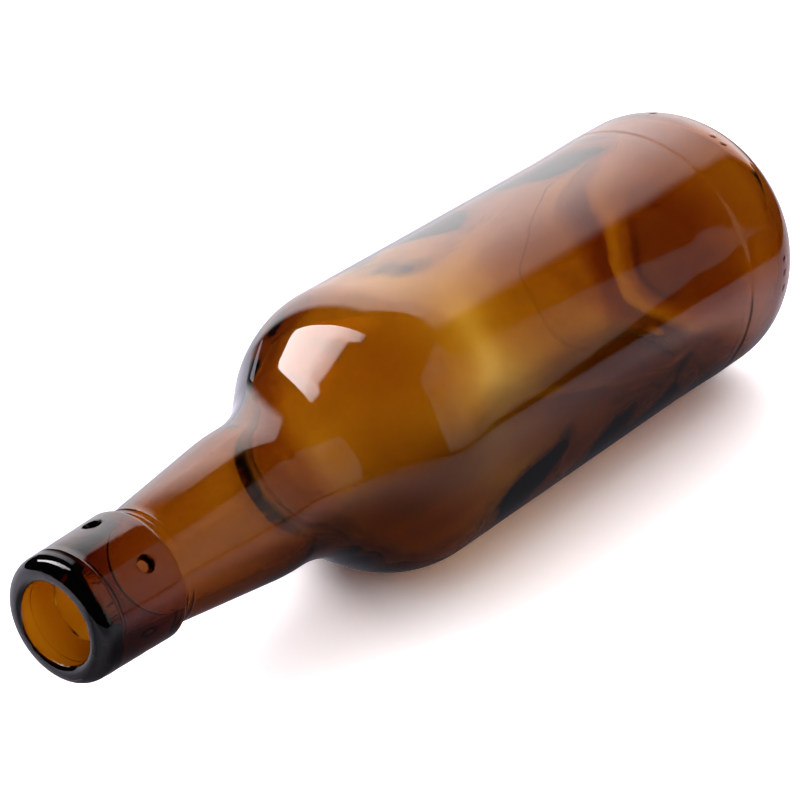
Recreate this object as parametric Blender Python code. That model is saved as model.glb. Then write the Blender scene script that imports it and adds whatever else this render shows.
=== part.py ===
"""Empty amber glass bottle for a swing top closure, lying on its side.

Lengths are metres and +Z is up. The bottle is turned about its own axis, base at height 0, and
then laid down: its mouth points along -Y and a narrow flat along its underside rests on Z = 0.
Angles round the bottle are measured from its upper side towards +X.
"""

from math import acos, asin, ceil, cos, pi, radians, sin

import bmesh
import bpy
from mathutils import Matrix, Vector

MM = 0.001

# Outside of the body, from the base up
HEIGHT = 238.5 * MM
BAND_RADIUS = 35.0 * MM
BAND_TOP = 27.0 * MM
BAND_STEP = 0.6 * MM
PANEL_RADIUS = 34.55 * MM
HEEL_RADIUS = 19.2 * MM
HEEL_TURN = radians(45)
FOOT_RADIUS = 7.0 * MM

# Push-up under the base
FOOT_INNER_RADIUS = 2.5 * MM
PUSH_UP_SLOPE = radians(28)
FOOT_RING_RADIUS = BAND_RADIUS - HEEL_RADIUS * (1 - cos(HEEL_TURN)) - FOOT_RADIUS * cos(HEEL_TURN)
PUSH_UP_RADIUS = FOOT_RING_RADIUS / sin(PUSH_UP_SLOPE) - FOOT_INNER_RADIUS
PUSH_UP_HEIGHT = (PUSH_UP_RADIUS + FOOT_INNER_RADIUS) * (1 - cos(PUSH_UP_SLOPE))

# Shoulder, fillet and neck
SHOULDER_HEIGHT = 133.6 * MM
SHOULDER_RADIUS = 25.4 * MM
SHOULDER_SLOPE = radians(36.9)
CONE_LENGTH = 9.7 * MM
FILLET_RADIUS = 29.6 * MM
NECK_STRAIGHT = 0.4 * MM
KNUCKLE_RADIUS = 62.0 * MM
NECK_TAPER = radians(7.27)

# Collar that carries the closure, and the lip
COLLAR_LENGTH = 24.8 * MM
COLLAR_LOW_RADIUS = 15.05 * MM
COLLAR_TOP_RADIUS = 14.48 * MM
COLLAR_CORNER = 1.3 * MM
LIP_DROP = 3.5 * MM
BORE_RADIUS = 9.5 * MM
BORE_CORNER = 0.9 * MM
LIP_REACH = COLLAR_TOP_RADIUS - BORE_RADIUS - BORE_CORNER

# Fine raised rings left by the mould joints
RING_RELIEF = 0.15 * MM
RING_WIDTH = 0.7 * MM
LIP_RING_DROP = 2.2 * MM + LIP_DROP
NECK_RING_DROPS = (1.6 * MM, 3.2 * MM)

# Glass thickness
WALL = 2.7 * MM
BASE_THICKNESS = 3.6 * MM
INNER_HEEL_RADIUS = 11.0 * MM

# Blind holes in the collar where the wire bail clips in, in mirrored pairs
HOLE_MIDDLE = radians(90)
HOLE_SPREADS = (radians(45), radians(108))
HOLE_DROP = 17.3 * MM
HOLE_MOUTH_RADIUS = 1.9 * MM
HOLE_END_RADIUS = 1.45 * MM
HOLE_DEPTH = 1.3 * MM

# Raised dots round the heel, in groups of one, two and three
DOT_HEIGHT = 12.3 * MM
DOT_RELIEF = 0.2 * MM
DOT_RADIUS = 1.0 * MM
DOT_ANGLES = [radians(angle) for angle in (-11, 19, 24.5, 81, 87, 94)]

# The resting flat is cut this deep into the label panel
FLAT_DEPTH = 0.3 * MM
AXIS_HEIGHT = PANEL_RADIUS - FLAT_DEPTH

# Facets
SIDES = 48
CHORD_SAG = 0.06 * MM
HOLE_SIDES = 20
DOT_SIDES = 12
DOT_RINGS = 6
SHARP_ANGLE = radians(35)
CUT_MARGIN = 1.0 * MM

# Amber glass
GLASS_COLOUR = (0.30, 0.10, 0.012, 1)
GLASS_ROUGHNESS = 0.05
GLASS_IOR = 1.52


def chords(radius, turn):
    """Number of chords that keeps an arc within the allowed sag."""
    return ceil(abs(turn) / (2 * acos(1 - CHORD_SAG / radius)))


class Outline:
    """Points (radius, height) of a turned profile, drawn as a pen that moves and turns.

    The heading is the angle from straight up towards the axis of the bottle.
    """

    def __init__(self, radius, height, heading):
        self.points = [Vector((radius, height))]
        self.heading = heading

    @property
    def end(self):
        return self.points[-1]

    def line(self, length):
        step = Vector((-sin(self.heading), cos(self.heading))) * length
        self.points.append(self.end + step)

    def line_to_height(self, height):
        self.line((height - self.end.y) / cos(self.heading))

    def line_to_radius(self, radius):
        self.line((self.end.x - radius) / sin(self.heading))

    def arc(self, radius, turn):
        """Turn by an angle, positive towards the axis, in chords of a circle."""
        steps = chords(radius, turn)
        side = 1 if turn > 0 else -1
        start, heading = self.end.copy(), self.heading
        for i in range(1, steps + 1):
            now = heading + turn * i / steps
            across = side * radius * (cos(now) - cos(heading))
            along = side * radius * (sin(now) - sin(heading))
            self.points.append(start + Vector((across, along)))
        self.heading = heading + turn

    def quarter_ellipse(self, reach, rise):
        """From straight up to straight in."""
        steps = chords(rise, pi / 2)
        centre = self.end + Vector((-reach, 0))
        for i in range(1, steps + 1):
            angle = pi / 2 * i / steps
            self.points.append(centre + Vector((reach * cos(angle), rise * sin(angle))))
        self.heading = pi / 2

    def ring(self, height):
        """A low raised ring round a steep side, its crest at the given height."""
        self.line_to_height(height - RING_WIDTH / 2)
        low = self.end.copy()
        self.line_to_height(height + RING_WIDTH / 2)
        high = self.end.copy()
        crest = (low + high) / 2 + Vector((cos(self.heading), sin(self.heading))) * RING_RELIEF
        self.points[-1:] = [crest, high]


def outside():
    """From the centre of the base out, up and in to the edge of the bore."""
    path = Outline(0, PUSH_UP_HEIGHT, -pi / 2)
    path.arc(PUSH_UP_RADIUS, -PUSH_UP_SLOPE)
    path.arc(FOOT_INNER_RADIUS, PUSH_UP_SLOPE)
    path.arc(FOOT_RADIUS, pi / 2 - HEEL_TURN)
    path.arc(HEEL_RADIUS, HEEL_TURN)
    path.line_to_height(BAND_TOP)
    path.points.append(Vector((PANEL_RADIUS, BAND_TOP + BAND_STEP)))
    path.line_to_height(SHOULDER_HEIGHT)
    path.arc(SHOULDER_RADIUS, SHOULDER_SLOPE)
    path.line(CONE_LENGTH)
    path.arc(FILLET_RADIUS, -SHOULDER_SLOPE)
    path.line(NECK_STRAIGHT)
    path.arc(KNUCKLE_RADIUS, NECK_TAPER)

    collar_base = HEIGHT - COLLAR_LENGTH
    for drop in reversed(NECK_RING_DROPS):
        path.ring(collar_base - drop)
    path.line_to_height(collar_base)
    path.points.append(Vector((COLLAR_LOW_RADIUS - COLLAR_CORNER, collar_base)))
    path.heading = -pi / 2
    path.arc(COLLAR_CORNER, pi / 2)
    collar_top = HEIGHT - LIP_DROP
    collar_rise = collar_top - path.end.y
    path.heading = asin((COLLAR_LOW_RADIUS - COLLAR_TOP_RADIUS) / collar_rise)
    path.ring(HEIGHT - LIP_RING_DROP)
    path.line_to_height(collar_top)
    path.quarter_ellipse(LIP_REACH, LIP_DROP)
    return path.points


def inside():
    """From the edge of the bore down and in to the centre of the floor."""
    dome_radius = PUSH_UP_RADIUS + BASE_THICKNESS
    flat_reach = PANEL_RADIUS - WALL - INNER_HEEL_RADIUS
    floor_slope = asin(flat_reach / (dome_radius + INNER_HEEL_RADIUS))

    path = Outline(0, PUSH_UP_HEIGHT + BASE_THICKNESS, -pi / 2)
    path.arc(dome_radius, -floor_slope)
    path.arc(INNER_HEEL_RADIUS, floor_slope + pi / 2)
    path.line_to_height(SHOULDER_HEIGHT)
    path.arc(SHOULDER_RADIUS - WALL, SHOULDER_SLOPE)
    path.line(CONE_LENGTH)
    path.arc(FILLET_RADIUS + WALL, -SHOULDER_SLOPE)
    path.line(NECK_STRAIGHT)
    path.arc(KNUCKLE_RADIUS - WALL, NECK_TAPER)
    path.line_to_radius(BORE_RADIUS)
    path.heading = 0
    path.line_to_height(HEIGHT - BORE_CORNER)
    path.arc(BORE_CORNER, -pi / 2)
    return path.points[::-1]


def at_angle(radius, angle, height):
    return Vector((radius * sin(angle), radius * cos(angle), height))


def turned_mesh(name, outline):
    """Closed mesh of an outline that starts and ends on the axis."""
    work = bmesh.new()
    rings = []
    for radius, height in outline[1:-1]:
        angles = (2 * pi * i / SIDES for i in range(SIDES))
        rings.append([work.verts.new(at_angle(radius, angle, height)) for angle in angles])
    first = work.verts.new(at_angle(0, 0, outline[0].y))
    last = work.verts.new(at_angle(0, 0, outline[-1].y))
    for i in range(SIDES):
        j = (i + 1) % SIDES
        work.faces.new((first, rings[0][i], rings[0][j]))
        work.faces.new((last, rings[-1][j], rings[-1][i]))
        for low, high in zip(rings, rings[1:]):
            work.faces.new((low[i], high[i], high[j], low[j]))
    return finished_mesh(name, work)


def finished_mesh(name, work):
    bmesh.ops.recalc_face_normals(work, faces=work.faces)
    mesh = bpy.data.meshes.new(name)
    work.to_mesh(mesh)
    work.free()
    mesh.shade_smooth()
    mesh.set_sharp_from_angle(angle=SHARP_ANGLE)
    return mesh


def add_object(name, mesh, collection):
    thing = bpy.data.objects.new(name, mesh)
    collection.objects.link(thing)
    return thing


def add_tool(name, mesh, collection, placing):
    """An object that only shapes another one."""
    thing = add_object(name, mesh, collection)
    thing.matrix_world = placing
    thing.hide_render = True
    thing.display_type = "WIRE"
    return thing


def outward_frame(radius, angle, height):
    """Local x runs round the bottle, local y down its side and local z straight out."""
    out = at_angle(1, angle, 0)
    down = Vector((0, 0, -1))
    turn = Matrix((down.cross(out), down, out)).transposed()
    return Matrix.Translation(at_angle(radius, angle, height)) @ turn.to_4x4()


def outline_radius(outline, height):
    """Largest radius of an outline at a height."""
    radii = []
    for low, high in zip(outline, outline[1:]):
        if min(low.y, high.y) <= height <= max(low.y, high.y) and low.y != high.y:
            share = (height - low.y) / (high.y - low.y)
            radii.append(low.x + share * (high.x - low.x))
    return max(radii)


def hole_mesh():
    """Tapered round plug that reaches a little above the surface it is cut from."""
    taper = (HOLE_MOUTH_RADIUS - HOLE_END_RADIUS) / HOLE_DEPTH
    work = bmesh.new()
    bmesh.ops.create_cone(
        work,
        cap_ends=True,
        segments=HOLE_SIDES,
        radius1=HOLE_END_RADIUS,
        radius2=HOLE_MOUTH_RADIUS + taper * CUT_MARGIN,
        depth=HOLE_DEPTH + CUT_MARGIN,
        matrix=Matrix.Translation((0, 0, (CUT_MARGIN - HOLE_DEPTH) / 2)),
    )
    return finished_mesh("hole", work)


def dot_mesh():
    """Flat round bump, half sunk into the surface."""
    work = bmesh.new()
    size = Matrix.Diagonal((DOT_RADIUS, DOT_RADIUS, DOT_RELIEF, 1))
    bmesh.ops.create_uvsphere(
        work, u_segments=DOT_SIDES, v_segments=DOT_RINGS, radius=1, matrix=size
    )
    return finished_mesh("dot", work)


def box_mesh(name, low, high):
    middle = (Vector(low) + Vector(high)) / 2
    span = Vector(high) - Vector(low)
    work = bmesh.new()
    placing = Matrix.Translation(middle) @ Matrix.Diagonal((*span, 1))
    bmesh.ops.create_cube(work, size=1, matrix=placing)
    return finished_mesh(name, work)


def amber_glass():
    material = bpy.data.materials.new("amber_glass")
    material.use_nodes = True
    surface = material.node_tree.nodes["Principled BSDF"]
    surface.inputs["Base Color"].default_value = GLASS_COLOUR
    surface.inputs["Roughness"].default_value = GLASS_ROUGHNESS
    surface.inputs["Metallic"].default_value = 0
    surface.inputs["IOR"].default_value = GLASS_IOR
    surface.inputs["Transmission Weight"].default_value = 1
    return material


def hole_tools(collection):
    mesh = hole_mesh()
    drop_share = HOLE_DROP / COLLAR_LENGTH
    radius = COLLAR_TOP_RADIUS + drop_share * (COLLAR_LOW_RADIUS - COLLAR_TOP_RADIUS)
    for i, spread in enumerate(HOLE_SPREADS):
        for side in (-1, 1):
            placing = outward_frame(radius, HOLE_MIDDLE + side * spread, HEIGHT - HOLE_DROP)
            add_tool(f"hole_tool_{i}_{side}", mesh, collection, placing)


def dot_tools(collection, outline):
    mesh = dot_mesh()
    radius = outline_radius(outline, DOT_HEIGHT)
    lean = Matrix.Rotation(-heel_lean(), 4, "X")
    for i, angle in enumerate(DOT_ANGLES):
        placing = outward_frame(radius, angle, DOT_HEIGHT) @ lean
        add_tool(f"dot_tool_{i}", mesh, collection, placing)


def heel_lean():
    """Angle by which the heel faces down at the height of the dots."""
    start = HEEL_RADIUS * sin(HEEL_TURN) + FOOT_RADIUS * (1 - sin(HEEL_TURN))
    return asin((start - DOT_HEIGHT) / HEEL_RADIUS)


def shape_with(body, name, operation, operand):
    change = body.modifiers.new(name, "BOOLEAN")
    change.operation = operation
    change.solver = "EXACT"
    if isinstance(operand, bpy.types.Collection):
        change.operand_type = "COLLECTION"
        change.collection = operand
    else:
        change.object = operand


def new_collection(name):
    collection = bpy.data.collections.new(name)
    bpy.context.scene.collection.children.link(collection)
    return collection


def build():
    for thing in list(bpy.data.objects):
        bpy.data.objects.remove(thing, do_unlink=True)

    parts = new_collection("part")
    dots = new_collection("dot_tools")
    holes = new_collection("hole_tools")
    floors = new_collection("floor_tools")

    outline = outside() + inside()
    bottle = add_object("bottle", turned_mesh("bottle", outline), parts)
    bottle.data.materials.append(amber_glass())

    dot_tools(dots, outline)
    hole_tools(holes)
    low = (-BAND_RADIUS, -BAND_RADIUS - CUT_MARGIN, -CUT_MARGIN)
    under = box_mesh("floor", low, (BAND_RADIUS, -AXIS_HEIGHT, HEIGHT + CUT_MARGIN))
    floor = add_tool("floor_tool", under, floors, Matrix())

    shape_with(bottle, "dots", "UNION", dots)
    shape_with(bottle, "holes", "DIFFERENCE", holes)
    shape_with(bottle, "resting flat", "DIFFERENCE", floor)

    laid = bpy.data.objects.new("laid_down", None)
    parts.objects.link(laid)
    for thing in [bottle, floor, *dots.objects, *holes.objects]:
        thing.parent = laid
    laid.rotation_euler = (pi / 2, 0, 0)
    laid.location = (0, HEIGHT / 2, AXIS_HEIGHT)


build()
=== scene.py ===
from math import acos, asin, ceil, cos, exp, hypot, pi, radians, sin

import bmesh
import bpy
from mathutils import Matrix, Vector, noise


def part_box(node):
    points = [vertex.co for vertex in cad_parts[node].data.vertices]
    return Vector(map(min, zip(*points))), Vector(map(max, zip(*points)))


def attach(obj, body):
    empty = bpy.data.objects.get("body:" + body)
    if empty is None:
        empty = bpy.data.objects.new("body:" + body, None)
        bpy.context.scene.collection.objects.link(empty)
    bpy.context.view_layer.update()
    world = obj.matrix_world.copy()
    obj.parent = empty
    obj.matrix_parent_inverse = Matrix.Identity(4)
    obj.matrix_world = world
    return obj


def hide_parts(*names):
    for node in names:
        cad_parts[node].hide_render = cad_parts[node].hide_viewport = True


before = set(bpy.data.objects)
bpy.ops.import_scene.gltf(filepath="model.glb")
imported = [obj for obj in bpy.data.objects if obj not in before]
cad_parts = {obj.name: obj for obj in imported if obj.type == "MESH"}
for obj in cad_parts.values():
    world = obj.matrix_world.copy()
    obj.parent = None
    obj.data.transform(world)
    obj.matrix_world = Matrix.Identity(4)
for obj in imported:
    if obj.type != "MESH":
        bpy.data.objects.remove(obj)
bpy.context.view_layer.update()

MM = 0.001

# The bottle, in metres, base at height 0 before it is laid down; the same sizes as the solid
low_corner, high_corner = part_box("bottle")
HEIGHT = high_corner.y - low_corner.y
BAND_RADIUS = (high_corner.x - low_corner.x) / 2
AXIS_HEIGHT = high_corner.z - BAND_RADIUS
FLAT_DEPTH = 0.3 * MM
PANEL_RADIUS = AXIS_HEIGHT + FLAT_DEPTH
BAND_TOP = 27.0 * MM
BAND_EDGE = 0.16 * MM
BAND_EDGE_LENGTH = 1.6 * MM
BAND_EASE_LENGTH = 18.0 * MM
HEEL_RADIUS = 19.2 * MM
HEEL_TURN = radians(45)
FOOT_RADIUS = 7.0 * MM
FOOT_INNER_RADIUS = 2.5 * MM
PUSH_UP_SLOPE = radians(28)
FOOT_RING_RADIUS = BAND_RADIUS - HEEL_RADIUS * (1 - cos(HEEL_TURN)) - FOOT_RADIUS * cos(HEEL_TURN)
PUSH_UP_RADIUS = FOOT_RING_RADIUS / sin(PUSH_UP_SLOPE) - FOOT_INNER_RADIUS
PUSH_UP_HEIGHT = (PUSH_UP_RADIUS + FOOT_INNER_RADIUS) * (1 - cos(PUSH_UP_SLOPE))
SHOULDER_HEIGHT = 133.6 * MM
SHOULDER_RADIUS = 25.4 * MM
SHOULDER_SLOPE = radians(36.9)
CONE_LENGTH = 9.7 * MM
FILLET_RADIUS = 29.6 * MM
NECK_STRAIGHT = 0.4 * MM
KNUCKLE_RADIUS = 62.0 * MM
NECK_TAPER = radians(7.27)
COLLAR_LENGTH = 24.8 * MM
COLLAR_LOW_RADIUS = 15.05 * MM
COLLAR_TOP_RADIUS = 14.48 * MM
COLLAR_CORNER = 1.3 * MM
LIP_DROP = 3.7 * MM
LIP_ROUNDNESS = 0.98
BORE_RADIUS = 9.5 * MM
BORE_CORNER = 1.5 * MM
THROAT_RADIUS = 8.5 * MM
MOUTH_FLARE = 8.0 * MM
LIP_REACH = COLLAR_TOP_RADIUS - BORE_RADIUS - BORE_CORNER
RING_RELIEF = 0.07 * MM
RING_WIDTH = 0.9 * MM
LIP_RING_DROP = 2.2 * MM + LIP_DROP
NECK_RING_DROPS = (1.6 * MM, 3.2 * MM)
WALL = 2.7 * MM
THINNEST_WALL = 0.7 * MM
THIN_WALL_EASE = 0.25 * MM
BASE_THICKNESS = 4.0 * MM
INNER_DOME_RADIUS = 46.0 * MM
INNER_CORNER_RADIUS = 5.0 * MM
INNER_HEEL_RADIUS = PANEL_RADIUS - WALL - (BAND_RADIUS - HEEL_RADIUS)
INNER_HEEL_TURN = radians(34)

# The blind holes for the wire in the collar, in mirrored pairs about the middle
HOLE_MIDDLE = radians(90)
HOLE_SPREADS = (radians(45), radians(108))
HOLE_DROP = 17.3 * MM
HOLE_MOUTH_RADIUS = 2.2 * MM
HOLE_END_RADIUS = 1.5 * MM
HOLE_DEPTH = 1.7 * MM
HOLE_CORNER = 0.3 * MM
HOLE_FLARE = 0.35 * MM
HOLE_FLARE_INSET = 0.4 * HOLE_FLARE

# The raised dots on the heel
DOT_HEIGHT = 12.3 * MM
DOT_RELIEF = 0.2 * MM
DOT_RADIUS = 1.0 * MM
DOT_ANGLES = [radians(angle) for angle in (-11, 19, 24.5, 81, 87, 94)]

# The floor is higher round its middle, where glass gathers, a little off the axis and sloping
FLOOR_SWELL = 2.4 * MM
SWELL_OFFSET = 7.0 * MM
SWELL_DIRECTION = radians(-152)
SWELL_SLOPE = 0.05
SWELL_FULL, SWELL_END = 12.5 * MM, 25.5 * MM
HIGHEST_FLOOR = 15.0 * MM

# Heights, and how much the wall there is thicker than WALL, as glass flows in the mould
THICKENING = [
    (0, 0.0), (16 * MM, -0.3 * MM), (45 * MM, 0.2 * MM), (80 * MM, 0.1 * MM), (110 * MM, -0.4 * MM),
    (132 * MM, -0.7 * MM), (150 * MM, 0.7 * MM), (164 * MM, 0.0), (185 * MM, 0.4 * MM),
    (205 * MM, 0.6 * MM), (218 * MM, 0.0), (240 * MM, 0.0),
]

# Patches of thinner or thicker wall: height, half height, angle, half angle, amount
PATCHES = [
    (126 * MM, 18 * MM, radians(45), radians(60), -1.1 * MM),
    (56 * MM, 16 * MM, radians(-112), radians(65), -1.5 * MM),
    (19 * MM, 7 * MM, radians(-125), radians(70), -0.3 * MM),
    (138 * MM, 8 * MM, radians(-105), radians(85), 2.2 * MM),
    (11 * MM, 3.5 * MM, radians(-130), radians(75), 4.6 * MM),
]

# Unevenness of blown glass: depth, size and pattern of the waves in the inner and outer face
INNER_WAVE, INNER_WAVE_SIZE, INNER_WAVE_SEED = 0.7 * MM, 26 * MM, 3
FINE_WAVE, FINE_WAVE_SIZE, FINE_WAVE_SEED = 0.1 * MM, 12 * MM, 5
OUTER_WAVE, OUTER_WAVE_SIZE, OUTER_WAVE_SEED = 0.03 * MM, 18 * MM, 7
WAVE_SQUEEZE = 0.6
SMALL_WAVE_SHARE = 0.45
SMALL_WAVE_FINENESS = 2.1

# The bore is true down to a depth, the waves grow over the next stretch, and they fade near the axis
TRUE_BORE = 24 * MM
WAVE_GROWTH = 30 * MM
CALM_RADIUS = 20 * MM

# Fineness of the mesh
SIDES = 176
HOLE_SIDES = 48
DOT_SIDES = 32
CHORD_SAG = 0.004 * MM
LONGEST_STEP = 1.6 * MM
CUT_MARGIN = 1.0 * MM
CUT_CLEARANCE = 0.1 * MM
SHARP_ANGLE = radians(40)

# Amber glass; the density is per metre of glass and takes up what the colour lacks
GLASS_IOR = 1.52
GLASS_COLOUR = (0.79, 0.622, 0.0, 1)
GLASS_DENSITY = 1190
GLASS_MOST_HAZE = 0.03

# The white floor
FLOOR_HALF_SIZE = 6
FLOOR_GAP = 0.1 * MM
FLOOR_COLOUR = (0.9, 0.868, 0.886)
FLOOR_EXPOSURE = 2.14

# The camera
LENS_MM = 131.6
SENSOR_MM = 36
SEEN_FROM = Vector((363.7, -466.5, 366.0)) * MM
SEEN_AZIMUTH = radians(38.23)
SEEN_ELEVATION = radians(29.26)


def smooth_step(value, low, high):
    """From 0 at low to 1 at high in an S-shaped step; low may be the greater."""
    share = min(1, max(0, (value - low) / (high - low)))
    return share * share * (3 - 2 * share)


def chords(radius, turn):
    """How many chords keep within CHORD_SAG of an arc."""
    return ceil(abs(turn) / (2 * acos(1 - CHORD_SAG / radius)))


class Outline:
    """Points (radius, height) of a turned profile, drawn as a pen that moves and turns.

    The heading is the angle from straight up towards the axis of the bottle.
    """

    def __init__(self, radius, height, heading):
        self.points = [Vector((radius, height))]
        self.heading = heading

    @property
    def end(self):
        return self.points[-1]

    def to(self, radius, height):
        """Straight on to a point, in steps short enough to take the waves."""
        start, finish = self.end.copy(), Vector((radius, height))
        steps = max(1, ceil((finish - start).length / LONGEST_STEP))
        self.points += [start.lerp(finish, i / steps) for i in range(1, steps + 1)]

    def line(self, length):
        finish = self.end + Vector((-sin(self.heading), cos(self.heading))) * length
        self.to(*finish)

    def line_to_height(self, height):
        self.line((height - self.end.y) / cos(self.heading))

    def line_to_radius(self, radius):
        self.line((self.end.x - radius) / sin(self.heading))

    def arc(self, radius, turn):
        """Turn by an angle, positive towards the axis, in chords of a circle."""
        steps = max(chords(radius, turn), ceil(radius * abs(turn) / LONGEST_STEP))
        side = 1 if turn > 0 else -1
        start, heading = self.end.copy(), self.heading
        for i in range(1, steps + 1):
            now = heading + turn * i / steps
            across = side * radius * (cos(now) - cos(heading))
            along = side * radius * (sin(now) - sin(heading))
            self.points.append(start + Vector((across, along)))
        self.heading = heading + turn

    def quarter_round(self, reach, rise):
        """From straight up to straight in, a little fuller than an ellipse."""
        steps = 2 * chords(rise, pi / 2)
        centre = self.end + Vector((-reach, 0))
        for i in range(1, steps + 1):
            angle = pi / 2 * i / steps
            across, along = abs(cos(angle)) ** LIP_ROUNDNESS, sin(angle) ** LIP_ROUNDNESS
            self.points.append(centre + Vector((reach * across, rise * along)))
        self.heading = pi / 2

    def ease_to(self, radius, rise):
        """Up a straight side to another radius in an S-shaped step."""
        start = self.end.copy()
        steps = 12
        for i in range(1, steps + 1):
            share = i / steps
            step = (radius - start.x) * smooth_step(share, 0, 1)
            self.points.append(start + Vector((step, rise * share)))

    def ring(self, height):
        """A low rounded ring round a steep side, its crest at the given height."""
        self.line_to_height(height - RING_WIDTH / 2)
        low = self.end.copy()
        along = Vector((-sin(self.heading), cos(self.heading)))
        out = Vector((cos(self.heading), sin(self.heading)))
        steps = 8
        for i in range(1, steps + 1):
            share = i / steps
            rise = RING_RELIEF * sin(pi * share) ** 2
            self.points.append(low + along * (RING_WIDTH * share) + out * rise)


def outside():
    """From the centre of the base out, up and in to the edge of the bore."""
    path = Outline(0, PUSH_UP_HEIGHT, -pi / 2)
    path.arc(PUSH_UP_RADIUS, -PUSH_UP_SLOPE)
    path.arc(FOOT_INNER_RADIUS, PUSH_UP_SLOPE)
    path.arc(FOOT_RADIUS, pi / 2 - HEEL_TURN)
    path.arc(HEEL_RADIUS, HEEL_TURN)
    path.line_to_height(BAND_TOP)
    path.ease_to(BAND_RADIUS - BAND_EDGE, BAND_EDGE_LENGTH)
    path.ease_to(PANEL_RADIUS, BAND_EASE_LENGTH)
    path.line_to_height(SHOULDER_HEIGHT)
    path.arc(SHOULDER_RADIUS, SHOULDER_SLOPE)
    path.line(CONE_LENGTH)
    path.arc(FILLET_RADIUS, -SHOULDER_SLOPE)
    path.line(NECK_STRAIGHT)
    path.arc(KNUCKLE_RADIUS, NECK_TAPER)

    collar_base = HEIGHT - COLLAR_LENGTH
    for drop in reversed(NECK_RING_DROPS):
        path.ring(collar_base - drop)
    path.line_to_height(collar_base)
    path.to(COLLAR_LOW_RADIUS - COLLAR_CORNER, collar_base)
    path.heading = -pi / 2
    path.arc(COLLAR_CORNER, pi / 2)
    collar_top = HEIGHT - LIP_DROP
    collar_rise = collar_top - path.end.y
    path.heading = asin((COLLAR_LOW_RADIUS - COLLAR_TOP_RADIUS) / collar_rise)
    path.ring(HEIGHT - LIP_RING_DROP)
    path.line_to_height(collar_top)
    path.quarter_round(LIP_REACH, LIP_DROP)
    return path.points


def inside():
    """From the edge of the bore down and in to the centre of the floor."""
    heel_reach = INNER_HEEL_RADIUS * (1 - cos(INNER_HEEL_TURN))
    flat_reach = PANEL_RADIUS - WALL - heel_reach - INNER_CORNER_RADIUS * cos(INNER_HEEL_TURN)
    floor_slope = asin(flat_reach / (INNER_DOME_RADIUS + INNER_CORNER_RADIUS))

    path = Outline(0, PUSH_UP_HEIGHT + BASE_THICKNESS, -pi / 2)
    path.arc(INNER_DOME_RADIUS, -floor_slope)
    path.arc(INNER_CORNER_RADIUS, floor_slope + pi / 2 - INNER_HEEL_TURN)
    path.arc(INNER_HEEL_RADIUS, INNER_HEEL_TURN)
    path.line_to_height(SHOULDER_HEIGHT)
    path.arc(SHOULDER_RADIUS - WALL, SHOULDER_SLOPE)
    path.line(CONE_LENGTH)
    path.arc(FILLET_RADIUS + WALL, -SHOULDER_SLOPE)
    path.line(NECK_STRAIGHT)
    path.arc(KNUCKLE_RADIUS - WALL, NECK_TAPER)
    path.line_to_radius(THROAT_RADIUS)
    path.heading = 0
    path.line_to_height(HEIGHT - BORE_CORNER - MOUTH_FLARE)
    path.ease_to(BORE_RADIUS, MOUTH_FLARE)
    path.arc(BORE_CORNER, -pi / 2)
    return path.points[::-1]


def at_angle(radius, angle, height):
    return Vector((radius * sin(angle), radius * cos(angle), height))


def layered_noise(point, size, seed):
    """Smooth random value from about -1 to 1 that varies over the given size."""
    spot = point / size + Vector((seed, 0, 0))
    small_spot = spot * SMALL_WAVE_FINENESS + Vector((0, seed, 0))
    return noise.noise(spot) + SMALL_WAVE_SHARE * noise.noise(small_spot)


def thickening(height):
    for (low, first), (high, second) in zip(THICKENING, THICKENING[1:]):
        if height <= high:
            return first + (second - first) * smooth_step(height, low, high)
    return 0


def patches(angle, height):
    total = 0
    for middle, reach, direction, spread, amount in PATCHES:
        turn = (angle - direction + pi) % (2 * pi) - pi
        total += amount * exp(-((height - middle) / reach) ** 2 - (turn / spread) ** 2)
    return total


def floor_swell(point):
    if point.z > HIGHEST_FLOOR:
        return Vector()
    away = (point - at_angle(SWELL_OFFSET, SWELL_DIRECTION, point.z)).length
    rise = FLOOR_SWELL + SWELL_SLOPE * point.dot(at_angle(1, SWELL_DIRECTION, 0))
    return Vector((0, 0, rise * smooth_step(away, SWELL_END, SWELL_FULL)))


def held_back(wave):
    """The same wave, but easing to a stop before the wall gets thinner than THINNEST_WALL."""
    limit = WALL - THINNEST_WALL
    return limit - (limit - wave + hypot(limit - wave, THIN_WALL_EASE)) / 2


def wavy(radius, angle, height, is_inside):
    """A point of the wall with the unevenness of blown glass."""
    point = at_angle(radius, angle, height)
    from_axis = min(1, radius / CALM_RADIUS)
    if is_inside:
        # the bore and the floor are pressed true; the blown wall between them isn't
        from_mouth = min(1, max(0, (HEIGHT - TRUE_BORE - height) / WAVE_GROWTH))
        stretched = Vector((point.x, point.y, point.z * WAVE_SQUEEZE))
        wave = INNER_WAVE * layered_noise(stretched, INNER_WAVE_SIZE, INNER_WAVE_SEED) * from_mouth
        wave += FINE_WAVE * layered_noise(stretched, FINE_WAVE_SIZE, FINE_WAVE_SEED) * from_mouth
        wave = held_back(wave - thickening(height) - patches(angle, height)) * from_axis
        return at_angle(radius + wave, angle, height) + floor_swell(point)
    wave = OUTER_WAVE * layered_noise(point, OUTER_WAVE_SIZE, OUTER_WAVE_SEED) * from_axis
    return at_angle(radius + wave, angle, height)


def laid_down():
    """Turns the standing bottle onto its side, mouth to -Y."""
    return Matrix.Translation((0, HEIGHT / 2, AXIS_HEIGHT)) @ Matrix.Rotation(pi / 2, 4, "X")


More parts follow.
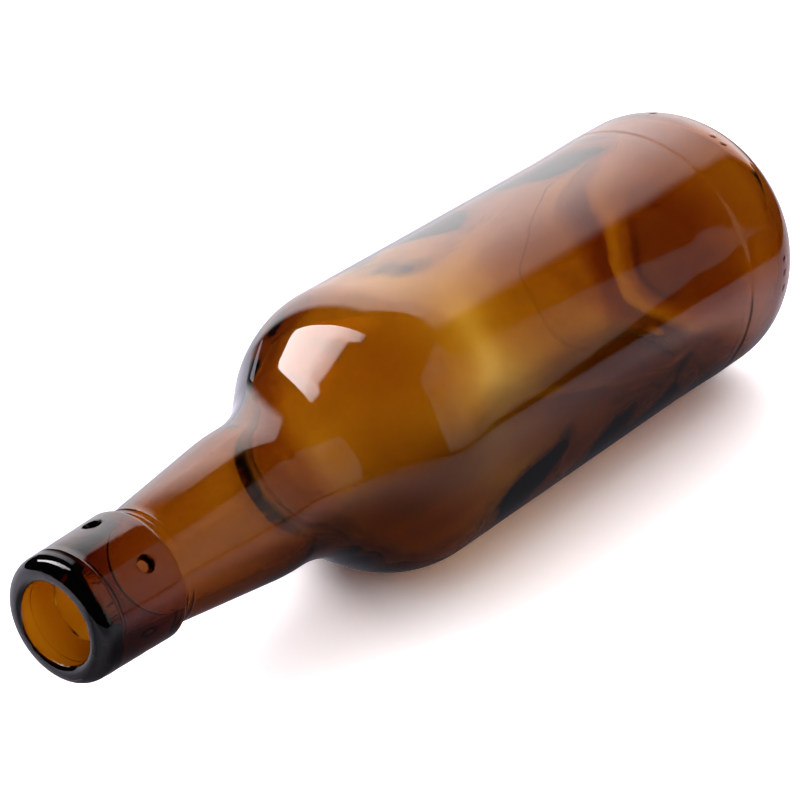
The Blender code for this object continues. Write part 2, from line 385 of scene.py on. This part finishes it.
def turned_bottle():
    """Closed mesh of the glass, outside and inside in one skin."""
    outer, inner = outside(), inside()
    work = bmesh.new()
    rings = []
    for i, (radius, height) in enumerate(outer + inner):
        is_inside = i >= len(outer)
        on_axis = radius < 1e-9
        if on_axis:
            rings.append([work.verts.new(wavy(0, 0, height, is_inside))])
            continue
        ring = []
        for side in range(SIDES):
            angle = 2 * pi * side / SIDES
            ring.append(work.verts.new(wavy(radius, angle, height, is_inside)))
        rings.append(ring)
    for low, high in zip(rings, rings[1:]):
        for i in range(SIDES):
            j = (i + 1) % SIDES
            if len(low) == 1:
                work.faces.new((low[0], high[i], high[j]))
            elif len(high) == 1:
                work.faces.new((low[i], high[0], low[j]))
            else:
                work.faces.new((low[i], high[i], high[j], low[j]))
    bmesh.ops.recalc_face_normals(work, faces=work.faces)
    return work


def outward_frame(radius, angle, height):
    """Local x runs round the bottle, local y down its side and local z straight out."""
    out = at_angle(1, angle, 0)
    down = Vector((0, 0, -1))
    turn = Matrix((down.cross(out), down, out)).transposed()
    return Matrix.Translation(at_angle(radius, angle, height)) @ turn.to_4x4()


def lathe(points, sides):
    """Closed mesh of points (radius, height) round local z, from axis to axis."""
    work = bmesh.new()
    rings = []
    for radius, height in points[1:-1]:
        angles = (2 * pi * i / sides for i in range(sides))
        rings.append([work.verts.new(at_angle(radius, angle, height)) for angle in angles])
    first = work.verts.new((0, 0, points[0][1]))
    last = work.verts.new((0, 0, points[-1][1]))
    for i in range(sides):
        j = (i + 1) % sides
        work.faces.new((first, rings[0][i], rings[0][j]))
        work.faces.new((last, rings[-1][j], rings[-1][i]))
        for low, high in zip(rings, rings[1:]):
            work.faces.new((low[i], high[i], high[j], low[j]))
    bmesh.ops.recalc_face_normals(work, faces=work.faces)
    return work


def to_object(name, work):
    mesh = bpy.data.meshes.new(name)
    work.to_mesh(mesh)
    work.free()
    mesh.shade_smooth()
    thing = bpy.data.objects.new(name, mesh)
    bpy.context.scene.collection.objects.link(thing)
    return thing


def hole_points():
    """Tapered blind hole with a rounded bottom corner and a flared rim."""
    corner_steps, rim_steps = 5, 6
    points = [(0, -HOLE_DEPTH)]
    for i in range(corner_steps + 1):
        angle = pi / 2 * i / corner_steps
        radius = HOLE_END_RADIUS - HOLE_CORNER + HOLE_CORNER * sin(angle)
        points.append((radius, -HOLE_DEPTH + HOLE_CORNER * (1 - cos(angle))))
    for i in range(rim_steps + 1):
        angle = pi / 2 * i / rim_steps
        radius = HOLE_MOUTH_RADIUS - HOLE_FLARE_INSET + HOLE_FLARE * (1 - cos(angle))
        points.append((radius, -HOLE_FLARE + HOLE_FLARE * sin(angle)))
    points.append((points[-1][0] + CUT_CLEARANCE, CUT_MARGIN))
    points.append((0, CUT_MARGIN))
    return points


def dot_points():
    """Flat round lens; its outer half stands proud as a dot."""
    steps = 16
    points = []
    for i in range(steps + 1):
        angle = -pi / 2 + pi * i / steps
        points.append((DOT_RADIUS * cos(angle), DOT_RELIEF * sin(angle)))
    return points


def heel_place(height):
    """Radius of the heel at a height, and the angle by which it faces down there."""
    start = HEEL_RADIUS * sin(HEEL_TURN) + FOOT_RADIUS * (1 - sin(HEEL_TURN))
    lean = asin((start - height) / HEEL_RADIUS)
    return BAND_RADIUS - HEEL_RADIUS * (1 - cos(lean)), lean


def hole_tools():
    """Cutters for the two pairs of wire holes."""
    drop_share = HOLE_DROP / COLLAR_LENGTH
    radius = COLLAR_TOP_RADIUS + drop_share * (COLLAR_LOW_RADIUS - COLLAR_TOP_RADIUS)
    tools = []
    for spread in HOLE_SPREADS:
        for side in (-1, 1):
            tool = to_object("hole_tool", lathe(hole_points(), HOLE_SIDES))
            angle = HOLE_MIDDLE + side * spread
            tool.matrix_world = outward_frame(radius, angle, HEIGHT - HOLE_DROP)
            tools.append(tool)
    return tools


def dot_tools():
    """The raised dots, each laid flat on the heel."""
    radius, lean = heel_place(DOT_HEIGHT)
    tools = []
    for angle in DOT_ANGLES:
        tool = to_object("dot_tool", lathe(dot_points(), DOT_SIDES))
        turn = Matrix.Rotation(-lean, 4, "X")
        tool.matrix_world = outward_frame(radius, angle, DOT_HEIGHT) @ turn
        tools.append(tool)
    return tools


def cut_with(body, tools, operation):
    """Applies a Boolean for each tool and removes the tools."""
    bpy.context.view_layer.update()
    for tool in tools:
        change = body.modifiers.new(tool.name, "BOOLEAN")
        change.operation = operation
        change.solver = "EXACT"
        change.object = tool
    graph = bpy.context.evaluated_depsgraph_get()
    mesh = bpy.data.meshes.new_from_object(body.evaluated_get(graph))
    body.modifiers.clear()
    old = body.data
    body.data = mesh
    bpy.data.meshes.remove(old)
    for tool in tools:
        bpy.data.objects.remove(tool, do_unlink=True)


def glass_bottle():
    bottle = to_object("bottle_glass", turned_bottle())
    cut_with(bottle, hole_tools(), "DIFFERENCE")
    cut_with(bottle, dot_tools(), "UNION")

    bottle.data.transform(laid_down())
    for vertex in bottle.data.vertices:
        # the flat that the bottle lies on
        vertex.co.z = max(0, vertex.co.z)
    bottle.data.shade_smooth()
    bottle.data.set_sharp_from_angle(angle=SHARP_ANGLE)
    return bottle


def node(tree, kind, x, y, **inputs):
    """Adds a shader node; an underscore in an input's name stands for a space."""
    made = tree.nodes.new(kind)
    made.location = (x, y)
    for name, value in inputs.items():
        made.inputs[name.replace("_", " ")].default_value = value
    return made


def amber_glass():
    material = bpy.data.materials.new("amber_glass")
    material.use_nodes = True
    tree = material.node_tree
    surface = tree.nodes["Principled BSDF"]
    surface.inputs["Metallic"].default_value = 0
    surface.inputs["IOR"].default_value = GLASS_IOR
    surface.inputs["Transmission Weight"].default_value = 1

    place = node(tree, "ShaderNodeTexCoord", -1100, 0)

    # faint handling haze in the polish
    haze = node(tree, "ShaderNodeTexNoise", -850, 0, Scale=60, Detail=3, Roughness=0.6)
    polish = node(tree, "ShaderNodeMapRange", -600, 0, From_Min=0.58, From_Max=0.8, To_Min=0.0)
    polish.inputs["To Max"].default_value = GLASS_MOST_HAZE
    tree.links.new(place.outputs["Object"], haze.inputs["Vector"])
    tree.links.new(haze.outputs["Fac"], polish.inputs["Value"])
    tree.links.new(polish.outputs["Result"], surface.inputs["Roughness"])

    # slightly streaky melt
    stretch = node(tree, "ShaderNodeMapping", -1000, 300, Scale=(1, 0.25, 1))
    streaks = node(tree, "ShaderNodeTexNoise", -850, 300, Scale=30, Detail=3)
    tint = node(tree, "ShaderNodeValToRGB", -600, 300)
    clear, streaky = tint.color_ramp.elements
    clear.position, streaky.position = 0.3, 0.75
    clear.color = (1.0, 0.99, 0.97, 1)
    streaky.color = (0.97, 0.95, 0.92, 1)
    tree.links.new(place.outputs["Object"], stretch.inputs["Vector"])
    tree.links.new(stretch.outputs["Vector"], streaks.inputs["Vector"])
    tree.links.new(streaks.outputs["Fac"], tint.inputs["Fac"])
    tree.links.new(tint.outputs["Color"], surface.inputs["Base Color"])

    # fine ripple
    ripple = node(tree, "ShaderNodeTexNoise", -850, -300, Scale=140, Detail=2)
    bump = node(tree, "ShaderNodeBump", -600, -300, Strength=0.05, Distance=0.4 * MM)
    tree.links.new(place.outputs["Object"], ripple.inputs["Vector"])
    tree.links.new(ripple.outputs["Fac"], bump.inputs["Height"])
    tree.links.new(bump.outputs["Normal"], surface.inputs["Normal"])

    depth = node(tree, "ShaderNodeVolumeAbsorption", 0, -300, Color=GLASS_COLOUR, Density=GLASS_DENSITY)
    tree.links.new(depth.outputs["Volume"], tree.nodes["Material Output"].inputs["Volume"])
    return material


def paper(name, colour, exposure):
    """Matt paper; the camera sees it overexposed, as the photo's floor is."""
    material = bpy.data.materials.new(name)
    material.use_nodes = True
    tree = material.node_tree
    tree.nodes.clear()
    out = node(tree, "ShaderNodeOutputMaterial", 600, 0)
    surface = node(tree, "ShaderNodeBsdfDiffuse", 400, 0)
    path = node(tree, "ShaderNodeLightPath", 0, 0)
    shade = node(tree, "ShaderNodeMix", 200, 0)
    shade.data_type = "RGBA"
    shade.inputs["A"].default_value = (*colour, 1)
    shade.inputs["B"].default_value = (*[exposure * part for part in colour], 1)
    tree.links.new(path.outputs["Is Camera Ray"], shade.inputs["Factor"])
    tree.links.new(shade.outputs["Result"], surface.inputs["Color"])
    tree.links.new(surface.outputs["BSDF"], out.inputs["Surface"])
    return material


def floor():
    """A wide white floor; the outer face of the glass doesn't mirror it, and shows the painted floor
    reflection instead.
    """
    work = bmesh.new()
    bmesh.ops.create_grid(work, x_segments=1, y_segments=1, size=FLOOR_HALF_SIZE)
    plane = to_object("floor", work)
    plane.location.z = -FLOOR_GAP
    plane.data.materials.append(paper("white_paper", FLOOR_COLOUR, FLOOR_EXPOSURE))
    plane.visible_glossy = False


def camera():
    """Seen from 38 degrees round from the mouth and 29 degrees up, as in the photo."""
    data = bpy.data.cameras.new("camera")
    data.sensor_width = SENSOR_MM
    data.lens = LENS_MM
    data.clip_start = 0.05
    data.clip_end = 50
    across = cos(SEEN_ELEVATION)
    back = Vector((sin(SEEN_AZIMUTH) * across, -cos(SEEN_AZIMUTH) * across, sin(SEEN_ELEVATION)))
    thing = bpy.data.objects.new("camera", data)
    thing.location = SEEN_FROM
    thing.rotation_euler = back.to_track_quat("Z", "Y").to_euler()
    bpy.context.scene.collection.objects.link(thing)
    bpy.context.scene.camera = thing


def glowing_sheet(name, columns, rows, place, glow, strength, colour):
    """A sheet of soft light out of the camera's sight.

    place(s, t) gives the point and glow(s, t) the brightness at the shares s and t of its sides.
    """
    work = bmesh.new()
    layer = work.verts.layers.float.new("glow")
    grid = []
    for i in range(columns + 1):
        line = []
        for j in range(rows + 1):
            vertex = work.verts.new(place(i / columns, j / rows))
            vertex[layer] = glow(i / columns, j / rows)
            line.append(vertex)
        grid.append(line)
    for i in range(columns):
        for j in range(rows):
            work.faces.new((grid[i][j], grid[i + 1][j], grid[i + 1][j + 1], grid[i][j + 1]))
    sheet = to_object(name, work)
    sheet.visible_camera = False
    sheet.visible_shadow = False

    material = bpy.data.materials.new(name)
    material.use_nodes = True
    tree = material.node_tree
    tree.nodes.clear()
    level = node(tree, "ShaderNodeAttribute", 0, 0)
    level.attribute_name = "glow"
    scaled = node(tree, "ShaderNodeMath", 200, 0)
    scaled.operation = "MULTIPLY"
    scaled.inputs[1].default_value = strength
    light = node(tree, "ShaderNodeEmission", 400, 0, Color=(*colour, 1))
    out = node(tree, "ShaderNodeOutputMaterial", 600, 0)
    tree.links.new(level.outputs["Fac"], scaled.inputs[0])
    tree.links.new(scaled.outputs[0], light.inputs["Strength"])
    tree.links.new(light.outputs["Emission"], out.inputs["Surface"])
    sheet.data.materials.append(material)
    return sheet


def tent():
    """Diffusing cloth arched over the left and the back of the bottle."""
    radius, axis_height = 0.25, 0.035
    near, far = 0.03, 2.2
    start, finish = radians(70), radians(188)
    feather = 0.035

    # over the right side the cloth begins further back
    set_back = 0.15
    set_back_end, set_back_full = radians(115), radians(88)

    # the light grows from the cloth's right edge in two stages, and fades low on the left
    first_level, second_level = 0.45, 0.55
    first_stage = radians(73), radians(84)
    second_stage = radians(80), radians(128)
    fading = radians(135), radians(188)
    fading_share = 0.45

    def angle_at(s):
        return start + (finish - start) * s

    def edge_at(angle):
        return near + set_back * smooth_step(angle, set_back_end, set_back_full)

    def place(s, t):
        angle = angle_at(s)
        y = edge_at(angle) + (far - edge_at(angle)) * t * t
        return radius * cos(angle), y, axis_height + radius * sin(angle)

    def glow(s, t):
        angle = angle_at(s)
        rise = first_level * smooth_step(angle, *first_stage)
        rise += second_level * smooth_step(angle, *second_stage)
        fall = 1 - fading_share * smooth_step(angle, *fading)
        edge = smooth_step(place(s, t)[1] - edge_at(angle), 0, feather)
        return rise * fall * edge

    glowing_sheet("light_tent", 60, 32, place, glow, strength=2.6, colour=(1.0, 0.96, 0.975))


def painted_floor_reflection():
    """A glowing sheet seen only in the glass, a painted reflection of the lit table top: bright on the
    left, with painted shade on the right and just past the bottle.
    """
    low_x, high_x = -1.2, 0.5
    low_y, high_y = -0.5, 0.5

    # brightness of each patch of painted reflected light, and from where to where along x or y it fades
    # in or out
    left_level, left_edge, left_end = 1.15, (0.012, -0.05), (0.5, 0.42)
    behind_level, behind_start, behind_side = 0.8, (0.11, 0.15), (0.14, 0.03)
    right_level, right_start = 0.42, (0.03, 0.13)
    dimming, dimming_x = 0.4, (0.25, 0.45)
    # painted shadow: the shade dims the right towards the front, and just past the bottle only the low
    # near level shows
    shade, shade_x, shade_y = 0.5, (0.08, 0.14), (-0.06, -0.18)
    front_level, front_side, front_start = 0.35, (0.13, 0.06), (-0.10, -0.15)
    near_level, bottle_side = 0.06, (-0.01, 0.02)
    slant, slant_start, slanted_end = 0.6, 0.2, (0.28, 0.21)

    def place(s, t):
        return low_x + (high_x - low_x) * s, low_y + (high_y - low_y) * t, -FLOOR_GAP / 2

    def glow(s, t):
        x, y, _ = place(s, t)
        left_share = smooth_step(x, *left_edge)
        left = left_level * left_share * smooth_step(y, *left_end)
        behind = behind_level * smooth_step(y, *behind_start) * smooth_step(x, *behind_side)
        behind *= 1 - left_share
        right = right_level * smooth_step(x, *right_start)
        right *= 1 - dimming * smooth_step(x, *dimming_x)
        right *= 1 - shade * smooth_step(x, *shade_x) * smooth_step(y, *shade_y)
        past_bottle = smooth_step(x, *bottle_side)
        near = near_level * past_bottle
        front = front_level * past_bottle * smooth_step(x, *front_side) * smooth_step(y, *front_start)
        end = smooth_step(y - slant * max(0, slant_start - x), *slanted_end)
        return left + (behind + right + front + near) * end

    sheet = glowing_sheet("painted_floor_reflection", 102, 60, place, glow, strength=1.0, colour=(0.96, 0.91, 1.06))
    sheet.visible_diffuse = False
    sheet.visible_transmission = False
    sheet.data.materials[0].cycles.emission_sampling = "NONE"


def key_light():
    """A strip of bright light over the left side of the mouth."""
    low_x, high_x = -1.15, -0.14
    low_y, high_y = -0.215, -0.062
    height = 0.46
    margin = 0.03
    corner = 0.07
    corner_start, corner_end = -0.175, -0.13
    dimming, dimming_start = 0.55, 0.78

    def place(s, t):
        y = low_y + (high_y - low_y) * t
        reach = high_x + corner * smooth_step(y, corner_start, corner_end)
        return low_x + (reach - low_x) * s, y, height

    def glow(s, t):
        ends = smooth_step(min(s, 1 - s), 0, margin) * smooth_step(min(t, 1 - t), 0, margin)
        return ends * (1 - dimming * smooth_step(s, dimming_start, 1.0))

    glowing_sheet("key_light", 40, 40, place, glow, strength=12, colour=(1.0, 0.96, 0.97))


def side_card():
    """A sheet that glows in place of a dimly lit card beyond the right side of the base; its painted
    light is brighter towards the front and mottled.
    """
    facing = radians(115)
    distance = 0.35
    out = Vector((sin(facing), -cos(facing), 0))
    along = Vector((-cos(facing), -sin(facing), 0))
    back, front = -0.22, 0.29
    low, top = 0.02, 0.62
    back_corner, back_corner_start = 0.06, -0.10
    front_corner, front_corner_start = 0.12, 0.23
    feather, top_feather = 0.02, 0.08
    back_level = 0.6
    mottle_size, mottle_seed = 1 / 3, 11
    mottle_middle, mottle_depth = 0.8, 0.5

    def place(s, t):
        across = back + (front - back) * s
        bottom = low + back_corner * smooth_step(across, back_corner_start, back)
        bottom += front_corner * smooth_step(across, front_corner_start, front)
        return out * distance + along * across + Vector((0, 0, bottom + (top - bottom) * t))

    def glow(s, t):
        pattern = layered_noise(Vector((s, t, 0)), mottle_size, mottle_seed)
        sides = smooth_step(min(s, 1 - s), 0, feather)
        ends = smooth_step(t, 0, feather) * smooth_step(t, 1, 1 - top_feather)
        level = back_level + (1 - back_level) * s
        return sides * ends * level * (mottle_middle + mottle_depth * pattern)

    glowing_sheet("side_card", 64, 64, place, glow, strength=0.65, colour=(1.0, 0.95, 0.92))


def dark_room():
    """A dark room; matt things get an even fill from above, and the camera sees white."""
    least_light = 0.02
    world = bpy.data.worlds.new("studio")
    bpy.context.scene.world = world
    world.use_nodes = True
    tree = world.node_tree
    tree.nodes.clear()
    path = node(tree, "ShaderNodeLightPath", -400, 200)
    place = node(tree, "ShaderNodeTexCoord", -800, 0)
    split = node(tree, "ShaderNodeSeparateXYZ", -600, 0)
    high = node(tree, "ShaderNodeMapRange", -400, 0, From_Min=0.3, From_Max=0.95, To_Min=0.2, To_Max=1.8)
    high.interpolation_type = "SMOOTHSTEP"
    fill = node(tree, "ShaderNodeMath", -200, 0)
    fill.operation = "MULTIPLY_ADD"
    fill.inputs[2].default_value = least_light
    seen = node(tree, "ShaderNodeMath", 0, 0)
    seen.operation = "ADD"
    back = node(tree, "ShaderNodeBackground", 400, 0)
    out = node(tree, "ShaderNodeOutputWorld", 600, 0)
    tree.links.new(place.outputs["Generated"], split.inputs["Vector"])
    tree.links.new(split.outputs["Z"], high.inputs["Value"])
    tree.links.new(path.outputs["Is Diffuse Ray"], fill.inputs[0])
    tree.links.new(high.outputs["Result"], fill.inputs[1])
    tree.links.new(path.outputs["Is Camera Ray"], seen.inputs[0])
    tree.links.new(fill.outputs[0], seen.inputs[1])
    tree.links.new(seen.outputs[0], back.inputs["Strength"])
    tree.links.new(back.outputs["Background"], out.inputs["Surface"])


def render_look():
    """Enough bounces for light to pass both walls of the bottle and mirror inside them."""
    scene = bpy.context.scene
    scene.view_settings.view_transform = "Standard"
    scene.cycles.max_bounces = 20
    scene.cycles.transmission_bounces = 20
    scene.cycles.glossy_bounces = 12
    scene.cycles.diffuse_bounces = 3
    scene.cycles.transparent_max_bounces = 16
    scene.cycles.use_denoising = True
    scene.cycles.use_adaptive_sampling = False
    scene.cycles.use_light_tree = False


bottle = glass_bottle()
bottle.data.materials.clear()
bottle.data.materials.append(amber_glass())
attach(bottle, "root")
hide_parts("bottle")
floor()
camera()
dark_room()
tent()
painted_floor_reflection()
key_light()
side_card()
render_look()
